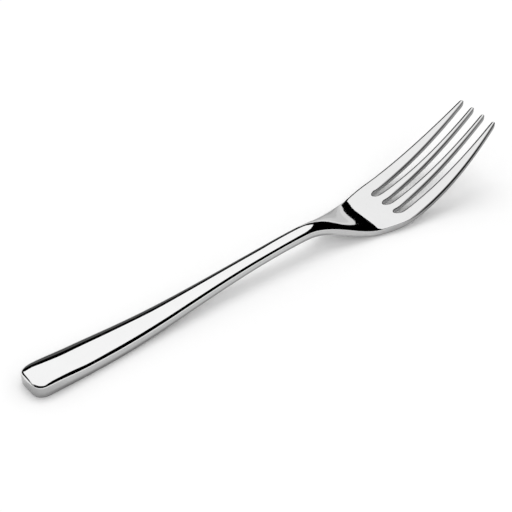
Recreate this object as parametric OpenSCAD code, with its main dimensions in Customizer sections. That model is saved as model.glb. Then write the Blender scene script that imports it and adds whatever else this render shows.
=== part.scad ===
// Four-tined serving fork, one blank of polished stainless steel, lying on the plane Z = 0.
// X runs from the end of the handle to the tips of the tines, and Z is up.
// Lengths along the fork are measured level, from the end of the handle.

/* [Handle] */
// Length from the blunt end to where the neck begins
handle_len = 119; // [95:1:140]
// Greatest width
handle_w = 15.4; // [12:0.2:18]
// Distance of the widest place from the end
handle_wide_at = 13; // [9:1:25]
// Thickness of the grip, from the crest of the crown to the underside
handle_t = 6.7; // [5:0.1:7.5]
// Height that the upper face gains towards the end
end_rise = 0.8; // [0:0.1:1.2]
// Distance from the end at which the upper face begins to gain that height
end_rise_from = 24; // [18:1:40]
// Tilt of the crowned upper face where it meets its long edges
crown_deg = 24; // [8:1:28]
// Radius of the long upper edges
edge_r = 1.6; // [0.8:0.1:1.6]
// Radius of the long lower edges
under_r = 0.5; // [0.4:0.1:1]
// Length of each round corner of the end, along the handle
end_corner_len = 4.5; // [4:0.5:9]
// Width of the straight end between its round corners
end_w = 4; // [4:0.2:9]
// Length of the sole that rests flat on the table, from the end
sole_len = 33; // [25:1:70]
// Depth that is ground off the underside to make the sole flat
sole_cut = 0.3; // [0.2:0.05:0.5]

/* [Neck] */
// Length from the handle to the palm
neck_len = 42; // [34:1:54]
// Width at the narrowest place
neck_w = 6.7; // [5.4:0.1:8]
// Thickness
neck_t = 4.2; // [3.2:0.1:5]
// Height of the underside above the table where the neck is highest
neck_rise = 8.4; // [5:0.1:14]
// Distance of the highest place from the start of the neck
crest_at = 16; // [8:1:18]

/* [Palm] */
// Length from the neck to the foot of the tines
palm_len = 24; // [20:1:32]
// Greatest width of the head
head_w = 30.2; // [26:0.2:36]
// Distance of the widest place behind the foot of the tines
head_wide_back = 1; // [0:0.5:4]
// Thickness at the belly
palm_t = 3.6; // [2.4:0.1:4.4]
// Distance from the neck to the belly, the place where the head touches the table
belly_at = 8.5; // [5:0.5:12]
// Width that the shoulders of the head stand out beyond a plain flare
shoulder_w = 1.3; // [0:0.1:2]
// Distance of their fullest place behind the palm
shoulder_back = 2; // [0:0.5:6]
// Length over which they fill out, and run out again
shoulder_run = 14; // [8:0.5:16]
// Radius of the edges of the head
head_edge_r = 0.5; // [0.3:0.05:0.8]

/* [Tines] */
// Length from their foot to their tips
tine_len = 46; // [38:1:60]
// Thickness at their foot
foot_t = 2.4; // [1.8:0.1:3.4]
// Thickness at their tips, before they are rounded off
tip_t = 2.2; // [1.6:0.1:3]
// Height of the underside above the table at the tips
tip_rise = 27.4; // [18:0.2:34]
// Distance from one tip to the next
tip_pitch = 6.6; // [6:0.1:8]
// Width of a tip, before it is rounded off
tip_w = 1.7; // [1.4:0.1:2.4]
// Length of the rounded end of a tip
tip_round = 1.2; // [1:0.1:4]
// Width of a slot at its round bottom
slot_w = 3; // [2.4:0.1:3.8]
// Distance from one slot to the next at their round bottoms
slot_pitch = 7.4; // [7:0.1:9]
// Distance that the slots reach back into the palm from the foot of the tines
slot_reach = 6.8; // [4:0.2:9]
// Radius of the edges along the slots
slot_edge_r = 0.4; // [0.2:0.05:0.6]
// Length over which the slot edges change from sharp to round
slot_edge_run = 4; // [2:0.5:8]

/* [Hidden] */

steel = "gainsboro";

// How the width falls from the handle to the neck, above 1 keeps the neck slim for longer
taper_power = 1.65;
// How the tines sweep up from the belly, 2 is a parabola
sweep_power = 1.8;
// Radius of the slot edges where they leave the palm, as good as sharp
sharp_r = 0.05;
// Share of a tip's width and thickness that is left at its very end
tip_blunt = 0.45;
// Half the step over which a slope is measured
slope_step = 0.25;

// Points across half the crown, along each round edge, and round the end of the handle or of a tip
crown_points = 6;
edge_points = 4;
end_points = 6;
// Longest step between two sections along the fork
section_step = 2.5;

crest_x = handle_len + crest_at;
palm_x = handle_len + neck_len;
belly_x = palm_x + belly_at;
tine_x = palm_x + palm_len;
tip_x = tine_x + tine_len;
head_wide_x = tine_x - head_wide_back;
shoulder_x = palm_x - shoulder_back;
slot_round_x = tine_x - slot_reach + slot_w / 2;

slot_count = 3;
tip_half_w = slot_count / 2 * tip_pitch + tip_w / 2;
tip_gap = tip_pitch - tip_w;

// Smooth step from 0 to 1
function ease(t) = t <= 0 ? 0 : t >= 1 ? 1 : t * t * (3 - 2 * t);

function mix(a, b, t) = a + (b - a) * t;

function ease_between(x, x0, x1) = ease((x - x0) / (x1 - x0));

// Height of the underside: flat sole, rise to the crest of the neck, fall to the belly, sweep of the tines
function underside(x) =
    x < crest_x ? mix(-sole_cut, neck_rise, ease_between(x, sole_len, crest_x))
    : x < belly_x ? mix(neck_rise, 0, ease_between(x, crest_x, belly_x))
    : tip_rise * pow((x - belly_x) / (tip_x - belly_x), sweep_power);

function slope(x) = (underside(x + slope_step) - underside(x - slope_step)) / (2 * slope_step);

// What the end of the handle is thicker than the grip
function end_gain(x) = end_rise * (1 - ease_between(x, end_corner_len, end_rise_from));

// Thickness square to the blank, and the same measured upright
function thickness(x) =
    x < crest_x ? mix(handle_t + sole_cut, neck_t, ease_between(x, handle_wide_at, crest_x)) + end_gain(x)
    : x < belly_x ? mix(neck_t, palm_t, ease_between(x, crest_x, belly_x))
    : x < tine_x ? mix(palm_t, foot_t, ease_between(x, belly_x, tine_x))
    : mix(foot_t, tip_t, ease_between(x, tine_x, tip_x));

function upright(x) = thickness(x) * sqrt(1 + pow(slope(x), 2));

// What each shoulder of the head adds to half the width
function shoulder(x) =
    shoulder_w / 2
    * ease_between(x, shoulder_x - shoulder_run, shoulder_x)
    * (1 - ease_between(x, shoulder_x, shoulder_x + shoulder_run));

// Half the width of the outline seen from above, without the corners of the end
function outline(x) =
    x < crest_x ? mix(neck_w, handle_w, pow(1 - ease_between(x, handle_wide_at, crest_x), taper_power)) / 2
    : x < head_wide_x ? mix(neck_w, head_w, ease_between(x, crest_x, head_wide_x)) / 2 + shoulder(x)
    : mix(head_w / 2, tip_half_w, pow((x - head_wide_x) / (tip_x - head_wide_x), 2));

// What a round end of length run takes off a size at distance x from the end
function rounded_off(x, run, depth) = x >= run ? 0 : depth * (1 - sqrt(1 - pow(1 - x / run, 2)));

function half_width(x) = outline(x) - rounded_off(x, end_corner_len, outline(x) - end_w / 2);

// Height of the crest of the crown, rounded down at the end of the handle
function crest(x) = underside(x) + upright(x) - rounded_off(x, edge_r, edge_r);

// Along the head the crown runs out to a flat face and the edges grow finer
function head_share(x) = ease_between(x, crest_x, belly_x);
function crown(x) = mix(crown_deg, 0, head_share(x));
function upper_r(x) = mix(edge_r, head_edge_r, head_share(x));
function lower_r(x) = mix(under_r, head_edge_r, head_share(x));

function arc(y, z, r, a0, a1) =
    [for (i = [0 : edge_points])
        let (a = mix(a0, a1, i / edge_points))
        [y + r * sin(a), z + r * cos(a)]];

function mirrored(points) = [for (i = [len(points) - 1 : -1 : 0]) [-points[i][0], points[i][1]]];

// Half of a cross-section, from beside the crest round the edges to beside the middle of the underside
function half_section(x) =
    let (
        half = half_width(x),
        top = crest(x),
        bottom = underside(x) + rounded_off(x, under_r, under_r),
        tilt = crown(x),
        r = upper_r(x),
        face = half - r * (1 - sin(tilt)),
        drop = face * tan(tilt) / 2,
        wall_top = top - drop - r * cos(tilt),
        under = min(lower_r(x), wall_top - bottom)
    )
    concat(
        [for (i = [1 : crown_points - 1]) let (s = i / crown_points) [face * s, top - drop * s * s]],
        arc(face - r * sin(tilt), wall_top, r, tilt, 90),
        arc(half - under, bottom + under, under, 90, 180)
    );

function section(x) =
    let (half = half_section(x))
    [for (p = concat([[0, crest(x)]], half, mirrored(half))) [x, p[0], p[1]]];

// Stations from x0 to x1, no further apart than section_step
function stations(x0, x1) =
    let (count = max(1, ceil((x1 - x0) / section_step)))
    [for (i = [0 : count]) mix(x0, x1, i / count)];

function past_first(list) = [for (i = [1 : len(list) - 1]) list[i]];

// Stations that crowd towards the end x0 of a round stretch
function round_stations(x0, x1) = [for (i = [0 : end_points]) x0 + (x1 - x0) * (1 - cos(90 * i / end_points))];

function mean(points) = [for (axis = [0 : 2]) [for (p = points) p[axis] / len(points)] * [for (p = points) 1]];

// Skin over a row of cross-sections with as many points each, closed by a fan at both ends
module loft(rings) {
    n = len(rings[0]);
    last = len(rings) - 1;
    first_hub = n * len(rings);
    last_hub = first_hub + 1;
    hubs = [mean(rings[0]), mean(rings[last])];
    skin = [
        for (i = [0 : last - 1], j = [0 : n - 1])
            let (a = i * n + j, b = i * n + (j + 1) % n, c = a + n, d = b + n)
            each [[a, c, d], [a, d, b]]
    ];
    ends = [
        for (j = [0 : n - 1])
            let (k = (j + 1) % n)
            each [[j, k, first_hub], [last * n + k, last * n + j, last_hub]]
    ];
    polyhedron(concat([for (ring = rings) each ring], hubs), concat(skin, ends), convexity = 6);
}

// Moves the middle of the fork's length to the origin
module centred() {
    translate([-tip_x / 2, 0, 0]) children();
}

// Middle line and half the width of a slot, counted from 1 on the +Y side
function slot_share(x) = (x - slot_round_x) / (tip_x - slot_round_x);
function slot_middle(slot, x) = (2 - slot) * mix(slot_pitch, tip_pitch, slot_share(x));
function slot_half(x) = mix(slot_w, tip_gap, slot_share(x)) / 2;

// Sides of a tine, counted from 1 on the +Y side
function tine_high(tine, x) = tine == 1 ? outline(x) : slot_middle(tine - 1, x) - slot_half(x);
function tine_low(tine, x) = tine == slot_count + 1 ? -outline(x) : slot_middle(tine, x) + slot_half(x);

// Radius of a slot's edges, which start sharp at the palm
function slot_r(x) = mix(sharp_r, slot_edge_r, ease_between(x, tine_x, tine_x + slot_edge_run));

function tine_section(tine, x) =
    let (
        left = 1 - rounded_off(tip_x - x, tip_round, 1 - tip_blunt),
        middle = (tine_high(tine, x) + tine_low(tine, x)) / 2,
        half = (tine_high(tine, x) - tine_low(tine, x)) / 2 * left,
        core = underside(x) + upright(x) / 2,
        rise = upright(x) / 2 * left,
        high_r = (tine == 1 ? head_edge_r : slot_r(x)) * left,
        low_r = (tine == slot_count + 1 ? head_edge_r : slot_r(x)) * left,
        ring = concat(
            arc(half - high_r, rise - high_r, high_r, 0, 90),
            arc(half - high_r, high_r - rise, high_r, 90, 180),
            arc(low_r - half, low_r - rise, low_r, 180, 270),
            arc(low_r - half, rise - low_r, low_r, 270, 360)
        )
    )
    [for (p = ring) [x, middle + p[0], core + p[1]]];

module tine(number) {
    body = stations(tine_x, tip_x - tip_round);
    tip = [for (i = [end_points - 1 : -1 : 0]) round_stations(tip_x, tip_x - tip_round)[i]];
    centred() loft([for (x = concat(body, tip)) tine_section(number, x)]);
}

// Grip with a crowned top, round edges and a ground sole
module handle() {
    end = round_stations(0, edge_r);
    corner = past_first(stations(edge_r, end_corner_len));
    shaft = past_first(stations(end_corner_len, handle_len));
    color(steel) centred() intersection() {
        loft([for (x = concat(end, corner, shaft)) section(x)]);
        translate([-handle_len, -handle_w, 0]) cube([3 * handle_len, 2 * handle_w, neck_rise + 2 * handle_t]);
    }
}

// Narrow bridge that flares down to the palm
module neck() {
    color(steel) centred() loft([for (x = stations(handle_len, palm_x)) section(x)]);
}

// Outline of one slot from above, with a round bottom
module slot_outline(number) {
    out_x = tine_x + slot_w;
    translate([slot_round_x, slot_middle(number, slot_round_x)]) circle(d = slot_w, $fn = 48);
    polygon([
        [slot_round_x, slot_middle(number, slot_round_x) - slot_half(slot_round_x)],
        [out_x, slot_middle(number, out_x) - slot_half(out_x)],
        [out_x, slot_middle(number, out_x) + slot_half(out_x)],
        [slot_round_x, slot_middle(number, slot_round_x) + slot_half(slot_round_x)]
    ]);
}

// Flat head, with the round bottoms of the slots cut through it
module palm() {
    rows = concat(stations(palm_x, belly_x), past_first(stations(belly_x, tine_x)));
    color(steel) centred() difference() {
        loft([for (x = rows) section(x)]);
        for (number = [1 : slot_count])
            translate([0, 0, -palm_t]) linear_extrude(tip_rise + 2 * palm_t) slot_outline(number);
    }
}

module tine_1() { color(steel) tine(1); }
module tine_2() { color(steel) tine(2); }
module tine_3() { color(steel) tine(3); }
module tine_4() { color(steel) tine(4); }

handle();
neck();
palm();
tine_1();
tine_2();
tine_3();
tine_4();
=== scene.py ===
import math

import bmesh
import bpy
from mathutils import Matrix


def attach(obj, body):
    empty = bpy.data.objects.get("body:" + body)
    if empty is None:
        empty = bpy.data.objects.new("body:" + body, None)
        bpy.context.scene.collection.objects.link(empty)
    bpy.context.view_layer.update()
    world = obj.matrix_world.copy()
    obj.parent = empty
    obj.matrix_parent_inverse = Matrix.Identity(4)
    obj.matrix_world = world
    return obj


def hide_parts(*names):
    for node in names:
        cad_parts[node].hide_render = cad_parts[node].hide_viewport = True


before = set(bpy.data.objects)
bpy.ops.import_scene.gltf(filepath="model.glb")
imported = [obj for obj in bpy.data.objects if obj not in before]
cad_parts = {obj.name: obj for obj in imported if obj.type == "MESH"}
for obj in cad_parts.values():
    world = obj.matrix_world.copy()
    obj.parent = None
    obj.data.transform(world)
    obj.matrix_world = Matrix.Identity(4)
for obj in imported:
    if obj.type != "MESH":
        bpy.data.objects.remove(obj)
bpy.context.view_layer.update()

# The blank: one strip of stainless steel, rolled thinner from the handle to the tips and pressed
# to the side curve that the fork lies on. It is one piece of metal, so it is one mesh, drawn out
# of a grid of faces from section to section. Sizes are millimetres from the end of the handle.
MM = 0.001
LENGTH = 231
# Places along the fork: the end of the flat sole, the top of the neck, the line on which the palm
# rests and the foot of the tines
SOLE_END = 34.5
CREST = 135
BELLY_START = 169
BELLY = 169.5
TINE_FOOT = 185
# Heights of the underside, and how late the tines sweep up
CREST_RISE = 8.1
TIP_RISE = 27.1
SWEEP = 1.8
# Thickness square to the side curve, and the step over which the slope of that curve is taken
HANDLE_THICK = 6.7
NECK_THICK = 4.2
BELLY_THICK = 3.6
TINE_THICK = 2.4
TIP_THICK = 2.2
CURVE_STEP = 0.5
# Where the handle is widest, and the extra thickness and the dome of its end
HANDLE_WIDE = 13
END_RISE = 0.8
END_DOME = 0.5
END_HIGH = 7
END_LOW = 24
# Rows of the grid from the underside to the face, and its columns on each side of the middle
BOTTOM, WALL_FOOT, WALL_TOP, FACE = range(4)
OUTER_COLUMN = 11


def mix(a, b, share):
    """Value that lies at a share of the way from a to b."""
    return a + (b - a) * share


def ease(x, start, stop):
    """Smooth step from 0 at start to 1 at stop."""
    t = min(max((x - start) / (stop - start), 0), 1)
    return t * t * (3 - 2 * t)


def slope(curve, start, stop):
    """Mean slope of a curve between two places."""
    return (curve(stop) - curve(start)) / (stop - start)


def underside(x):
    """Height of the underside over the table."""
    if x < CREST:
        return CREST_RISE * ease(x, SOLE_END, CREST)
    if x < BELLY:
        return CREST_RISE * (1 - ease(x, CREST, BELLY_START))
    return TIP_RISE * ((x - BELLY) / (LENGTH - BELLY)) ** SWEEP


def thickness(x):
    """Upright thickness of the blank, which is given square to the side curve."""
    if x < CREST:
        square = mix(HANDLE_THICK, NECK_THICK, ease(x, HANDLE_WIDE, CREST))
        square += END_RISE * (1 - ease(x, END_HIGH, END_LOW))
        square -= END_DOME * (1 - ease(x, 0, END_HIGH))
    elif x < BELLY:
        square = mix(NECK_THICK, BELLY_THICK, ease(x, CREST, BELLY))
    elif x < TINE_FOOT:
        square = mix(BELLY_THICK, TINE_THICK, ease(x, BELLY, TINE_FOOT))
    else:
        square = mix(TINE_THICK, TIP_THICK, ease(x, TINE_FOOT, LENGTH))
    return square * math.hypot(1, slope(underside, x - CURVE_STEP, x + CURVE_STEP))


def in_frame(x):
    """Place on the X axis, in metres, of a station along the fork."""
    return (x - LENGTH / 2) * MM


def station(vertex):
    """Distance of a vertex from the end of the handle."""
    return vertex.co.x / MM + LENGTH / 2


bpy.ops.object.select_all(action="DESELECT")
bpy.ops.mesh.primitive_grid_add(x_subdivisions=2 * OUTER_COLUMN, y_subdivisions=FACE, size=1)
fork = bpy.context.object
fork.name = fork.data.name = "fork"
bpy.ops.object.mode_set(mode="EDIT")
blank = bmesh.from_edit_mesh(fork.data)
column = blank.verts.layers.int.new("column")
row = blank.verts.layers.int.new("row")
# The grid is 1 long and wide, so the place of a vertex gives its column and its row
for v in blank.verts:
    v[column] = round(v.co.x * 2 * OUTER_COLUMN)
    v[row] = round((v.co.y + 0.5) * FACE)


def set_section(x, point):
    """Puts the selected vertices on the section at x; point gives their place across and up."""
    bm = bmesh.from_edit_mesh(fork.data)
    columns, rows = bm.verts.layers.int["column"], bm.verts.layers.int["row"]
    for v in bm.verts:
        if v.select:
            y, z = point(x, v[columns], v[rows])
            v.co = (in_frame(x), y * MM, z * MM)
    bmesh.update_edit_mesh(fork.data)


def draw_out(stations, point):
    """Extrudes the selected end faces to each station in turn."""
    for x in stations:
        bpy.ops.mesh.extrude_region_move(TRANSFORM_OT_translate={"value": (MM, 0, 0)})
        set_section(x, point)


def steps(start, stop, step):
    """Stations after start up to stop, no further apart than step."""
    count = math.ceil((stop - start) / step)
    return [mix(start, stop, (i + 1) / count) for i in range(count)]


# Handle: the thick grip, with a crowned top, well rounded upper edges and a blunt end with round
# corners. Its sole is ground flat, and the neck and the palm grow out of it without a step, so
# that one rule gives the sections of all three.
HANDLE_WIDTH = 15.4
NECK_WIDTH = 6.7
TAPER = 1.65
HEAD_WIDTH = 30.2
HEAD_WIDE = 184
SHOULDER = 0.65
SHOULDER_AT = 159
SHOULDER_RUN = 14
# The end: length, blunt width and squareness of its round corners, the roll of its rim, and how far
# its foot is undercut
END_CORNER = 6.5
END_WIDTH = 4
CORNER_POWER = 2.5
END_ROLL = 1.1
UNDERCUT = 0.35
UNDERCUT_RUN = 6
# Crown: places along the fork, tilt of the face at its edges, and how late it falls away to them
GRIP = 65
CROWN_FADE = CREST - 2
NECK_FALL = 144
PALM_CROWN_START = 147
NECK_FLAT = 163
PALM_CROWN_END = 179
END_CROWN = math.radians(22.5)
GRIP_CROWN = math.radians(24.5)
PALM_CROWN = math.radians(10)
GRIP_CROWN_POWER = 0.65
NECK_POWER_START = 111
NECK_CROWN_POWER = 1.5
FALL_CROWN_POWER = 0.85
PALM_CROWN_POWER = 3.2
# Radii of the round edges of the handle
CORNER_EDGE = 1.9
GRIP_EDGE = 1.75
NECK_EDGE = 1.1
LOWER_EDGE = 0.45
# Bevelled edges of the head, into which the round edges run along the neck
HEAD_EDGE_START = CREST + 8
HEAD_EDGE_FULL = BELLY + 7
BEVEL_ACROSS = 0.85
PALM_BEVEL_DOWN = 0.17
TINE_BEVEL_DOWN = 0.27
BEVEL_DEEPER = 168
BEVEL_DEEPEST = 190
BEVEL_FOOT = 0.3
HEAD_LOWER_EDGE = 0.5
SLOT_ROOT_EDGE = 0.4
# Columns between the middle and the round edge, as shares of the face, so that they run into the
# slots, and how they crowd towards the round corners of the end
COLUMN_SHARES = (0, 0.103, 0.155, 0.253, 0.352, 0.404, 0.507, 0.61, 0.662, 0.822, 1)
END_CROWDING = 1.7
# Step over which the turn of the outline is taken, and how many times as wide the round edge may
# grow on the face where the outline turns across the fork
OUTLINE_STEP = 0.01
EDGE_WIDENED = 1.4
# Stations that trace the outline of the end, those of its sections, and the step along the handle
OUTLINE_STATIONS = (0.02, 0.08, 0.18, 0.3, 0.5, 0.8, 1.2, 1.8, 2.6, 3.6, 4.6, 5.5, 7, 9)
END_STATIONS = (0.08, 0.3, 0.65, 1.1, 1.7, 2.5, 3.5, 4.6, 6, 8, 11, 14.5)
HANDLE_STEP = 4


def outline(x):
    """Half the width of the blank seen from above, without the round end."""
    if x < CREST:
        return mix(NECK_WIDTH, HANDLE_WIDTH, (1 - ease(x, HANDLE_WIDE, CREST)) ** TAPER) / 2
    shoulder = SHOULDER * ease(x, SHOULDER_AT - SHOULDER_RUN, SHOULDER_AT)
    shoulder *= 1 - ease(x, SHOULDER_AT, SHOULDER_AT + SHOULDER_RUN)
    return mix(NECK_WIDTH, HEAD_WIDTH, ease(x, CREST, HEAD_WIDE)) / 2 + shoulder


def rounded_off(x, run, depth, power=2):
    """What a round end of length run takes off a size at distance x from the end."""
    return 0 if x >= run else depth * (1 - (1 - (1 - x / run) ** power) ** (1 / power))


def round_corner(start, stop, middle):
    """Control point with which the smoothed surface passes through the middle of a round edge."""
    return tuple(m + (m - (a + b) / 2) / 2 for a, b, m in zip(start, stop, middle))


def half_width(x):
    """Half the width of the blank, with the round end of the handle."""
    return outline(x) - rounded_off(x, END_CORNER, outline(x) - END_WIDTH / 2, CORNER_POWER)


END_OUTLINE = [(0, END_WIDTH / 2)] + [(x, half_width(x)) for x in OUTLINE_STATIONS]


def from_end(x, y):
    """Distance of a point on the face from the outline at the end of the handle."""
    nearest = x if y < END_WIDTH / 2 else math.hypot(x, y - END_WIDTH / 2)
    for (x1, y1), (x2, y2) in zip(END_OUTLINE, END_OUTLINE[1:]):
        run, rise = x2 - x1, y2 - y1
        t = min(max(((x - x1) * run + (y - y1) * rise) / (run ** 2 + rise ** 2), 0), 1)
        nearest = min(nearest, math.hypot(x - x1 - t * run, y - y1 - t * rise))
    return nearest


def upper_edge(x):
    """Radius of the upper edges, which are finer at the rim of the end and along the neck."""
    if x < END_CORNER:
        return mix(END_ROLL, CORNER_EDGE, ease(x, 0, END_CORNER / 2))
    if x < HANDLE_WIDE:
        return mix(CORNER_EDGE, GRIP_EDGE, ease(x, END_CORNER, HANDLE_WIDE))
    return mix(GRIP_EDGE, NECK_EDGE, ease(x, GRIP, CREST))


def crown_tilt(x):
    """Angle to which the crowned face has tilted at its edges."""
    handle = mix(END_CROWN, GRIP_CROWN, ease(x, HANDLE_WIDE, GRIP)) * (1 - ease(x, CROWN_FADE, NECK_FLAT))
    palm = PALM_CROWN * ease(x, PALM_CROWN_START, NECK_FLAT) * (1 - ease(x, NECK_FLAT, PALM_CROWN_END))
    return handle + palm


def crown_power(x):
    """How late the crown falls away to the sides: 1 is an arc, and more is a flatter middle."""
    if x < GRIP:
        return mix(1, GRIP_CROWN_POWER, ease(x, SOLE_END, GRIP))
    if x < CREST:
        return mix(GRIP_CROWN_POWER, NECK_CROWN_POWER, ease(x, NECK_POWER_START, CREST))
    if x < NECK_FALL:
        return mix(NECK_CROWN_POWER, FALL_CROWN_POWER, ease(x, CREST, NECK_FALL))
    return mix(FALL_CROWN_POWER, PALM_CROWN_POWER, ease(x, NECK_FALL, NECK_FLAT))


def bevel_down(x):
    """Depth of the bevel along the edges of the head, which is steeper on the tines."""
    return mix(PALM_BEVEL_DOWN, TINE_BEVEL_DOWN, ease(x, BEVEL_DEEPER, BEVEL_DEEPEST))


def edge_point(half, top, bottom, start, radius, bevel, lower, level, flat, facing=1):
    """Place across and up of a vertex of the outer column. The upper edge is an arc that begins at
    the angle start on the handle, and a bevel with a fine foot where flat is 1, on the head."""
    if level == BOTTOM:
        inset = lower * (1 - math.sqrt(0.5))
        return round_corner((half - lower, bottom), (half, bottom + lower), (half - inset, bottom + inset))
    if level == WALL_FOOT:
        return half, bottom + lower
    wall_top = top - mix(radius * math.cos(start), bevel + BEVEL_FOOT, flat)
    if level == WALL_TOP:
        return half, wall_top
    face = half - radius * (1 - math.sin(start))
    turn = (start + math.pi / 2) / 2
    middle = (half - radius * (1 - math.sin(turn)), top - radius * (math.cos(start) - math.cos(turn)))
    across, up = round_corner((face, top), (half, wall_top), middle)
    across, up = mix(across, half, flat), mix(up, top - bevel, flat)
    return mix(half, across, facing), mix(wall_top, up, facing)


def blank_point(x, place, level):
    """Place across and up of a vertex of the handle, the neck or the palm."""
    side, k = (-1 if place < 0 else 1), abs(place)
    flat = ease(x, HEAD_EDGE_START, HEAD_EDGE_FULL)
    radius = mix(upper_edge(x), BEVEL_ACROSS, flat)
    lower = mix(LOWER_EDGE, HEAD_LOWER_EDGE, flat)
    half = half_width(x)
    top = underside(x) + thickness(x)
    bottom = underside(x) + rounded_off(x, lower, lower)
    facing = 1 / math.hypot(1, slope(half_width, x, x + OUTLINE_STEP)) if x > 0 else 0
    tilt, power = crown_tilt(x), crown_power(x)
    edge = radius * (1 - math.sin(tilt))
    face = half - edge / max(facing, 1 / EDGE_WIDENED)
    full_face = outline(x) - edge
    drop = full_face * math.tan(tilt) / (power + 1)
    if k == OUTER_COLUMN:
        top -= drop * min(half / outline(x), 1) ** (power + 1)
        y, z = edge_point(half, top, bottom, tilt, radius, bevel_down(x), lower, level, flat, facing)
        return side * y, z
    crowded = 1 - (1 - COLUMN_SHARES[k]) ** END_CROWDING
    share = mix(crowded, COLUMN_SHARES[k], ease(x, 0, HANDLE_WIDE))
    crowned = top - drop * (face * share / full_face) ** (power + 1)
    if x < END_CORNER + radius:
        crowned -= rounded_off(from_end(x, face * share), END_ROLL, END_ROLL)
    reach = half - lower if level < WALL_TOP else face
    up = (bottom, bottom + lower, crowned - mix(radius, SLOT_ROOT_EDGE, flat), crowned)[level]
    return side * reach * share, up


bpy.ops.mesh.select_all(action="SELECT")
set_section(0, blank_point)
draw_out(END_STATIONS, blank_point)
draw_out(steps(END_STATIONS[-1], CREST, HANDLE_STEP), blank_point)

# Neck: the narrow bridge, pressed from the same strip, that falls from its crest and flares into
# the palm, while the crown of the handle runs out to a flat face and the round edges grow finer.
NECK_STEP = 2.6
draw_out(steps(CREST, BELLY, NECK_STEP), blank_point)

# Palm: the flat head in front of the belly, which rests on the table. Three slots with round
# bottoms are cut into it, and their middle columns are drawn back later to make the bottoms round.
SLOT_START = 179.7
SLOT_WIDTH = 3
SLOT_PITCH = 7.4
SLOT_ROUND = 1.9
SLOT_MIDDLES = (-6, 0, 6)
PALM_STATIONS = (172, 174.5, 177, SLOT_START)
draw_out(PALM_STATIONS, blank_point)

# Tines: four prongs of the same steel that stay between the slots and are pressed up from the palm.
# Their inner walls are square to the face, with bevelled edges, and they taper to tips that are
# rounded off all round.
TIP_PITCH = 6.6
TIP_WIDTH = 1.7
TIP_ROUND = 1.2
TIP_BLUNT = 0.45
TINE_CROWN = math.radians(3)
# Bevel at the tips, and the largest shares that the bevel and the lower edge take of a thin tip
TIP_BEVEL_ACROSS = 0.8
BEVEL_ACROSS_SHARE = 0.85
BEVEL_DOWN_SHARE = 0.3
LOWER_EDGE_SHARE = 0.45
# Middle column of each tine, and the columns from there to its walls
INNER_TINE = 3
OUTER_TINE = 9
TINE_REACH = 2
ROOT_STATIONS = [181, 183, TINE_FOOT]
TINE_STEP = 3
TIP_STATIONS = [LENGTH - d for d in (0.8, 0.4, 0.15, 0.03, 0)]
# Places closer than this are the same
CLOSE = 0.01


def tine_sides(x, centre):
    """Inner and outer side of the tine with this middle column, on the +Y half."""
    share = (x - SLOT_START) / (LENGTH - SLOT_START)
    slot = mix(SLOT_PITCH, TIP_PITCH, share)
    half_slot = mix(SLOT_WIDTH, TIP_PITCH - TIP_WIDTH, share) / 2
    if centre == INNER_TINE:
        return half_slot, slot - half_slot
    if x < HEAD_WIDE:
        return slot + half_slot, outline(x)
    tip_half = 1.5 * TIP_PITCH + TIP_WIDTH / 2
    taper = ((x - HEAD_WIDE) / (LENGTH - HEAD_WIDE)) ** 2
    return slot + half_slot, mix(HEAD_WIDTH / 2, tip_half, taper)


def tine_point(x, place, level):
    """Place across and up of a vertex of a tine."""
    side, k = (-1 if place < 0 else 1), abs(place)
    centre = INNER_TINE if k <= INNER_TINE + TINE_REACH else OUTER_TINE
    kept = 1 - rounded_off(LENGTH - x, TIP_ROUND, 1 - TIP_BLUNT)
    inner, outer = tine_sides(x, centre)
    middle, half = (inner + outer) / 2, (outer - inner) / 2 * kept
    core, rise = underside(x) + thickness(x) / 2, thickness(x) / 2 * kept
    share = (x - SLOT_START) / (LENGTH - SLOT_START)
    across = min(mix(BEVEL_ACROSS, TIP_BEVEL_ACROSS, share), BEVEL_ACROSS_SHARE * half)
    down = min(bevel_down(x), BEVEL_DOWN_SHARE * rise)
    lower = min(HEAD_LOWER_EDGE, LOWER_EDGE_SHARE * half, LOWER_EDGE_SHARE * rise)
    face = half - across
    drop = face * math.tan(TINE_CROWN * ease(x, SLOT_START, TINE_FOOT)) / 2
    if abs(k - centre) == TINE_REACH:
        y, z = edge_point(half, rise - drop, -rise, 0, across, down, lower, level, flat=1)
    else:
        y, top = (0, rise) if k == centre else (face, rise - drop)
        z = (-rise, lower - rise, top - down - BEVEL_FOOT, top)[level]
    outward = 1 if k > centre else -1
    return side * (middle + outward * y), core + z


def select_end(centre):
    """Selects the end faces at the start of the slots from which a tine grows."""
    bpy.ops.mesh.select_all(action="DESELECT")
    bm = bmesh.from_edit_mesh(fork.data)
    columns = bm.verts.layers.int["column"]
    for f in bm.faces:
        at_end = all(v.co.x > in_frame(SLOT_START - CLOSE) for v in f.verts)
        f.select = at_end and all(abs(v[columns] - centre) <= TINE_REACH for v in f.verts)
    bm.select_flush_mode()
    bmesh.update_edit_mesh(fork.data)


bpy.ops.mesh.select_mode(type="FACE")
for centre in (OUTER_TINE, INNER_TINE, -INNER_TINE, -OUTER_TINE):
    select_end(centre)
    draw_out(ROOT_STATIONS + steps(TINE_FOOT, LENGTH - TIP_ROUND, TINE_STEP) + TIP_STATIONS, tine_point)

# Walls and edges of the whole fork: the layer "wall" says how far a place belongs to the ground
# walls, row by row, and to the painted shade at their foot on the handle and the painted dark
# reflections along the edges of the head. The lines along the bevels are creased, so that they stay
# sharp when the mesh is smoothed.
WALL_SHARES = (0.5, 0.7, 0.85, 0)
# Painted shade on the lower walls of the handle, where they mirror the table's shadow: its share in the
# layer, and where it fades out along the neck
FOOT_SHADE_SHARE = 1.5
FOOT_SHADE_FADE = 140
FOOT_SHADE_END = 160
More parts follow.
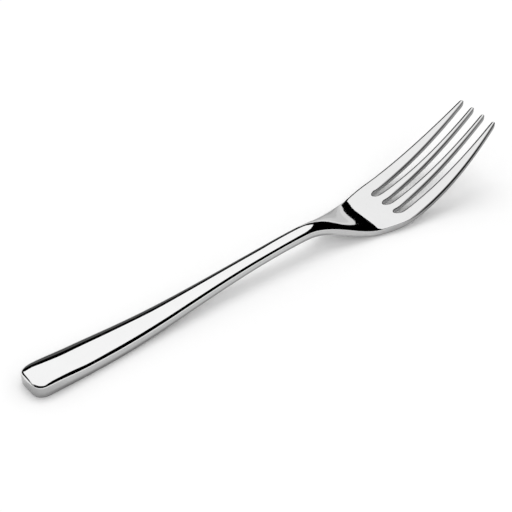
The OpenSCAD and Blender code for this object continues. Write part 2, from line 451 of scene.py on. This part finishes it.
# Painted dark reflections along the edges of the head: what they add at the slots and at the
# outline, where they set in, are full and begin to fade, and the share of them that is left at the tips
SLOT_DARK_REFLECTION = 2.6
OUTER_DARK_REFLECTION = 6
DARK_REFLECTION_START = 176
DARK_REFLECTION_FULL = 200
DARK_REFLECTION_FADE = 208
TIP_DARK_REFLECTION = 0.45
# Columns that bound a slot, and those along the inner lines of the bevels
SLOT_COLUMNS = (0, 1, 5, 6, 7)
SLOT_WALLS = (1, 5, 7)
BEVEL_COLUMNS = (2, 4, 8, 10)
CREASE_START = BELLY - 12
EDGE_CREASE_START = BELLY - 5
EDGE_CREASE_FULL = BELLY + 3
SLOT_CREASE_RUN = 10
SMOOTHING = 2
blank = bmesh.from_edit_mesh(fork.data)
column, row = blank.verts.layers.int["column"], blank.verts.layers.int["row"]
wall = blank.verts.layers.float.new("wall")
crease = blank.edges.layers.float.new("crease_edge")
for v in blank.verts:
    x, k = station(v), abs(v[column])
    in_slots = x > SLOT_START - CLOSE
    if k == OUTER_COLUMN or x < CLOSE or (in_slots and k in SLOT_COLUMNS):
        share = WALL_SHARES[v[row]]
        if v[row] == FACE:
            # Painted dark reflections along the edges of the face at the slots and at the outline
            dark = OUTER_DARK_REFLECTION if k == OUTER_COLUMN else SLOT_DARK_REFLECTION
            dark *= mix(1, TIP_DARK_REFLECTION, ease(x, DARK_REFLECTION_FADE, LENGTH))
            share += dark * ease(x, DARK_REFLECTION_START, DARK_REFLECTION_FULL)
        elif v[row] < WALL_TOP:
            # Painted shade at the foot of the handle walls, fading out along the neck
            share = mix(FOOT_SHADE_SHARE, share, ease(x, FOOT_SHADE_FADE, FOOT_SHADE_END))
        v[wall] = share
for e in blank.edges:
    a, b = e.verts
    if a[row] == b[row] == FACE and a[column] == b[column]:
        x, k = (station(a) + station(b)) / 2, abs(a[column])
        if k == OUTER_COLUMN - 1 or (k in BEVEL_COLUMNS and x > SLOT_START):
            e[crease] = ease(x, CREASE_START, BELLY)
        elif k == OUTER_COLUMN:
            e[crease] = ease(x, EDGE_CREASE_START, EDGE_CREASE_FULL)
        elif k in SLOT_WALLS:
            e[crease] = ease(x, TINE_FOOT, TINE_FOOT + SLOT_CREASE_RUN)
for v in blank.verts:
    x = station(v)
    if v[column] in SLOT_MIDDLES and x > SLOT_START - CLOSE:
        v.co.x -= SLOT_ROUND * MM
    if v[row] < WALL_TOP and x < UNDERCUT_RUN:
        v.co.x += UNDERCUT * (1 - x / UNDERCUT_RUN) ** 2 * MM
bmesh.update_edit_mesh(fork.data)
bpy.ops.mesh.select_all(action="SELECT")
bpy.ops.mesh.normals_make_consistent(inside=False)
bpy.ops.object.mode_set(mode="OBJECT")
smooth = fork.modifiers.new("smooth", "SUBSURF")
smooth.levels = smooth.render_levels = SMOOTHING
bpy.ops.object.modifier_apply(modifier="smooth")
bpy.ops.object.shade_smooth()

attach(fork, "root")
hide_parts("handle", "neck", "palm", "tine_1", "tine_2", "tine_3", "tine_4")

# Finish: 18/10 stainless steel, ground and buffed to a mirror. The eye sees the studio in it, with
# a faint haze where the buffing wheel went round. The walls keep a satin grind with fine lines along
# the fork, drawn coarser than they are so that they show, and their grey is partly painted shade.
# Painted shade darkens the walls of the head, the end of the handle and the foot of its walls, and
# painted dark reflections run along the edges of the head, nearly black at its outline.
FACE_TONES = ("#E2E2E2", "#E8E8E8")
HEAD_TONES = ("#D8D8D8", "#E0E0E0")
# Satin grind of the walls, whose grey is partly painted shade
GRIND_AND_SHADE_TONES = ("#BABABA", "#CCCCCC")
# Satin grind of the walls of the head, darkened with painted shade
HEAD_WALL_GRIND_AND_SHADE_TONES = ("#848484", "#9A9A9A")
# Painted shade at the foot of the handle walls
FOOT_SHADE_TONE = "#949494"
# Painted shade on the walls at the end of the handle, which mirror the shadowed table
END_SHADE_TONE = "#ACACAC"
# Painted dark reflections along the edges of the head, nearly black along its outline
DARK_REFLECTION_TONE = "#565656"
BLACK_REFLECTION_TONE = "#1E1E1E"
FACE_ROUGHNESS = (0.02, 0.06)
WALL_ROUGHNESS = 0.28
BUFFING_HAZE = 14
HAZE_DETAIL = 3
GRIND_LENGTH = 12
GRIND_WIDTH = 0.5
GRIND_DETAIL = 2
# Where each tone sets in and is full: by the layer "wall", or along the fork
WALL_RANGE = (0.25, 0.55)
DARK_REFLECTION_RANGE = (0.9, 1.3)
FOOT_SHADE_RANGE = (1.1, 1.5)
BLACK_REFLECTION_RANGE = (2.3, 2.8)
END_SHADE_RANGE = (in_frame(0), in_frame(14))
HEAD_RANGE = (in_frame(145), in_frame(165))
HEAD_WALL_RANGE = (in_frame(165), in_frame(190))


def linear(hex_colour):
    """Linear RGBA of an sRGB hex colour."""
    channels = [int(hex_colour[i:i + 2], 16) / 255 for i in (1, 3, 5)]
    return [c / 12.92 if c <= 0.04045 else ((c + 0.055) / 1.055) ** 2.4 for c in channels] + [1]


def add_node(tree, kind, links=(), inputs=(), **settings):
    """Adds a node with its settings, the values of its inputs and the sockets that feed them."""
    node = tree.nodes.new(kind)
    for name, value in settings.items():
        setattr(node, name, value)
    for name, value in dict(inputs).items():
        node.inputs[name].default_value = value
    for name, socket in dict(links).items():
        tree.links.new(socket, node.inputs[name])
    return node


steel = bpy.data.materials.new("mirror_polished_stainless_steel")
steel.use_nodes = True
tree = steel.node_tree
shader = tree.nodes["Principled BSDF"]
shader.inputs["Metallic"].default_value = 1
place = add_node(tree, "ShaderNodeTexCoord").outputs["Object"]
along = add_node(tree, "ShaderNodeSeparateXYZ", {"Vector": place}).outputs["X"]
layer = add_node(tree, "ShaderNodeAttribute", attribute_name="wall").outputs["Fac"]
haze = add_node(tree, "ShaderNodeTexNoise", {"Vector": place},
                {"Scale": 1 / (BUFFING_HAZE * MM), "Detail": HAZE_DETAIL}).outputs["Fac"]
stretch = [1 / (size * MM) for size in (GRIND_LENGTH, GRIND_WIDTH, GRIND_WIDTH)]
lines = add_node(tree, "ShaderNodeMapping", {"Vector": place}, {"Scale": stretch}).outputs["Vector"]
grind = add_node(tree, "ShaderNodeTexNoise", {"Vector": lines},
                 {"Scale": 1, "Detail": GRIND_DETAIL}).outputs["Fac"]

shares = {}
for name, value, (start, full) in (("wall", layer, WALL_RANGE), ("edge", layer, DARK_REFLECTION_RANGE),
                                   ("foot_shade", layer, FOOT_SHADE_RANGE), ("black_reflection", layer, BLACK_REFLECTION_RANGE),
                                   ("end", along, END_SHADE_RANGE), ("head", along, HEAD_RANGE),
                                   ("head_wall_grind_and_shade", along, HEAD_WALL_RANGE)):
    fade = "SMOOTHSTEP" if name == "foot_shade" else "LINEAR"
    shares[name] = add_node(tree, "ShaderNodeMapRange", {"Value": value},
                            {"From Min": start, "From Max": full}, interpolation_type=fade).outputs["Result"]

tones = {}
for name, pattern, (dark, light) in (("face", haze, FACE_TONES), ("head", haze, HEAD_TONES),
                                     ("ground", grind, GRIND_AND_SHADE_TONES), ("head_wall_grind_and_shade", grind, HEAD_WALL_GRIND_AND_SHADE_TONES)):
    tones[name] = add_node(tree, "ShaderNodeMix", {"Factor": pattern},
                           {"A": linear(dark), "B": linear(light)}, data_type="RGBA").outputs["Result"]

top_tone = add_node(tree, "ShaderNodeMix", {"Factor": shares["head"], "A": tones["face"], "B": tones["head"]},
                    data_type="RGBA").outputs["Result"]
# The foot of the handle walls gets painted shade
foot_shaded = add_node(tree, "ShaderNodeMix", {"Factor": shares["foot_shade"], "A": tones["ground"]},
                  {"B": linear(FOOT_SHADE_TONE)}, data_type="RGBA").outputs["Result"]
# The walls near the end of the handle get painted shade
handle_side = add_node(tree, "ShaderNodeMix", {"Factor": shares["end"], "B": foot_shaded},
                       {"A": linear(END_SHADE_TONE)}, data_type="RGBA").outputs["Result"]
# The edges of the head get painted dark reflections, nearly black along the outline
dark_reflected = add_node(tree, "ShaderNodeMix", {"Factor": shares["edge"], "A": tones["head_wall_grind_and_shade"]},
                 {"B": linear(DARK_REFLECTION_TONE)}, data_type="RGBA").outputs["Result"]
head_side = add_node(tree, "ShaderNodeMix", {"Factor": shares["black_reflection"], "A": dark_reflected},
                     {"B": linear(BLACK_REFLECTION_TONE)}, data_type="RGBA").outputs["Result"]
# Along the head the walls change to their satin grind with more painted shade
side_tone = add_node(tree, "ShaderNodeMix", {"Factor": shares["head_wall_grind_and_shade"], "A": handle_side, "B": head_side},
                     data_type="RGBA").outputs["Result"]
colour = add_node(tree, "ShaderNodeMix", {"Factor": shares["wall"], "A": top_tone, "B": side_tone},
                  data_type="RGBA").outputs["Result"]
tree.links.new(colour, shader.inputs["Base Color"])
polish = add_node(tree, "ShaderNodeMapRange", {"Value": haze},
                  {"To Min": FACE_ROUGHNESS[0], "To Max": FACE_ROUGHNESS[1]}).outputs["Result"]
roughness = add_node(tree, "ShaderNodeMapRange", {"Value": shares["wall"], "To Min": polish},
                     {"To Max": WALL_ROUGHNESS}).outputs["Result"]
tree.links.new(roughness, shader.inputs["Roughness"])
fork.data.materials.append(steel)

# Table: a sheet of matt white paper, lit evenly, on which the fork leaves a soft shadow. It isn't
# part of the fork. From here on, places and sizes are in metres.
PAPER_SIZE = 8
PAPER_WHITE = "#FDFDFD"
bpy.ops.mesh.primitive_plane_add(size=PAPER_SIZE)
table = bpy.context.object
table.name = "table"
paper = bpy.data.materials.new("matt_white_paper")
paper.use_nodes = True
tree = paper.node_tree
tree.nodes.remove(tree.nodes["Principled BSDF"])
matt = add_node(tree, "ShaderNodeBsdfDiffuse", inputs={"Color": linear(PAPER_WHITE)}).outputs["BSDF"]
tree.links.new(matt, tree.nodes["Material Output"].inputs["Surface"])
table.data.materials.append(paper)

# Light: a soft key from behind and above and a dim white room light the table. The polished steel
# mirrors a soft box overhead, a low grey backdrop that grows darker towards its foot and a grey
# card on the left, and the room is dark to it between them, which gives the fork its black lines.
CAMERA_TURN = 0.6542
# Where the key comes from, across and away for each metre of height, and its spread and level
KEY_ACROSS = -0.1
KEY_AWAY = 0.4
KEY_SPREAD = math.radians(38)
KEY_LEVEL = 0.25
ROOM_LEVEL = 0.79
# The soft box, across and away from the fork as the camera sees it
BOX_HEIGHT = 1
BOX_LEFT = -1.12
BOX_RIGHT = 0.41
BOX_NEAR = -0.7
BOX_FAR = 1.9
BOX_GLOW = 1.15
# The cards stand round the fork: bearing, spread, lowest and highest angle in degrees, and glow
CARD_DISTANCE = 2
BACKDROP = (28, 64)
FOOT_CARDS = 4
FOOT_CARD_HIGH = 2.5
FOOT_GLOW = 0.34
FOOT_GLOW_STEP = 0.13
cards = {
    "backdrop": (*BACKDROP, FOOT_CARDS * FOOT_CARD_HIGH, 13.8, 0.85),
    "backdrop_edge": (71.5, 22, 0, 14, 0.1),
    "left_card": (171, 42, 8, 40, 0.4),
}
for i in range(FOOT_CARDS):
    low = FOOT_CARD_HIGH * i
    cards[f"backdrop_foot_{i}"] = (*BACKDROP, low, low + FOOT_CARD_HIGH, FOOT_GLOW + FOOT_GLOW_STEP * i)


def on_table(across, away):
    """Place on the table of a point given across and away as the camera sees them."""
    cos, sin = math.cos(CAMERA_TURN), math.sin(CAMERA_TURN)
    return across * cos + away * sin, away * cos - across * sin


key_x, key_y = on_table(KEY_ACROSS, KEY_AWAY)
slant = math.hypot(1, KEY_ACROSS, KEY_AWAY)
key_turn = math.atan2(key_y, key_x) + math.pi / 2
bpy.ops.object.light_add(type="SUN", rotation=(math.acos(1 / slant), 0, key_turn))
key = bpy.context.object
key.name = "key_light"
key.data.angle = KEY_SPREAD
key.data.energy = KEY_LEVEL * math.pi * slant
key.visible_glossy = False


def mirrored_card(name, width, height, place, rotation, glow):
    """A lamp that only polished faces show, as a photographer's card."""
    bpy.ops.object.light_add(type="AREA", location=place, rotation=rotation)
    card = bpy.context.object
    card.name = name
    card.data.shape = "RECTANGLE"
    card.data.size, card.data.size_y = width, height
    card.data.energy = glow * math.pi * width * height
    card.visible_diffuse = False


box_place = (*on_table((BOX_LEFT + BOX_RIGHT) / 2, (BOX_NEAR + BOX_FAR) / 2), BOX_HEIGHT)
mirrored_card("soft_box", BOX_RIGHT - BOX_LEFT, BOX_FAR - BOX_NEAR, box_place, (0, 0, -CAMERA_TURN), BOX_GLOW)
for name, (bearing, spread, low, high, glow) in cards.items():
    turn = math.radians(bearing)
    width = 2 * CARD_DISTANCE * math.tan(math.radians(spread / 2))
    low, high = [CARD_DISTANCE * math.tan(math.radians(angle)) for angle in (low, high)]
    card_place = (CARD_DISTANCE * math.cos(turn), CARD_DISTANCE * math.sin(turn), (low + high) / 2)
    mirrored_card(name, width, high - low, card_place, (math.pi / 2, 0, turn + math.pi / 2), glow)

world = bpy.data.worlds.new("studio")
bpy.context.scene.world = world
world.use_nodes = True
tree = world.node_tree
rays = add_node(tree, "ShaderNodeLightPath").outputs
room = add_node(tree, "ShaderNodeMath", {0: rays["Is Glossy Ray"]}, {1: -ROOM_LEVEL, 2: ROOM_LEVEL},
                operation="MULTIPLY_ADD").outputs["Value"]
seen = add_node(tree, "ShaderNodeMath", {0: room, 1: rays["Is Camera Ray"]},
                operation="MAXIMUM").outputs["Value"]
background = tree.nodes["Background"]
background.inputs["Color"].default_value = (1, 1, 1, 1)
tree.links.new(seen, background.inputs["Strength"])

# Camera: it looks down on the fork from its near side, with a long lens. Its angles are in radians,
# and the focal length is in pixels of a picture as wide as the photograph.
CAMERA_PITCH = 0.7113
FOCAL = 1765.8
PICTURE_WIDTH = 512
SENSOR_WIDTH = 36
DISTANCE = 0.73399
AIM = (0.001778, 0.009361, 0)
NEAR_CLIP = 0.01
view = (*on_table(0, math.cos(CAMERA_PITCH)), -math.sin(CAMERA_PITCH))
bpy.ops.object.camera_add(location=[a - DISTANCE * d for a, d in zip(AIM, view)],
                          rotation=(math.pi / 2 - CAMERA_PITCH, 0, -CAMERA_TURN))
camera = bpy.context.object
camera.data.sensor_width = SENSOR_WIDTH
camera.data.lens = SENSOR_WIDTH * FOCAL / PICTURE_WIDTH
camera.data.clip_start = NEAR_CLIP
bpy.context.scene.camera = camera
bpy.context.scene.view_settings.view_transform = "Standard"
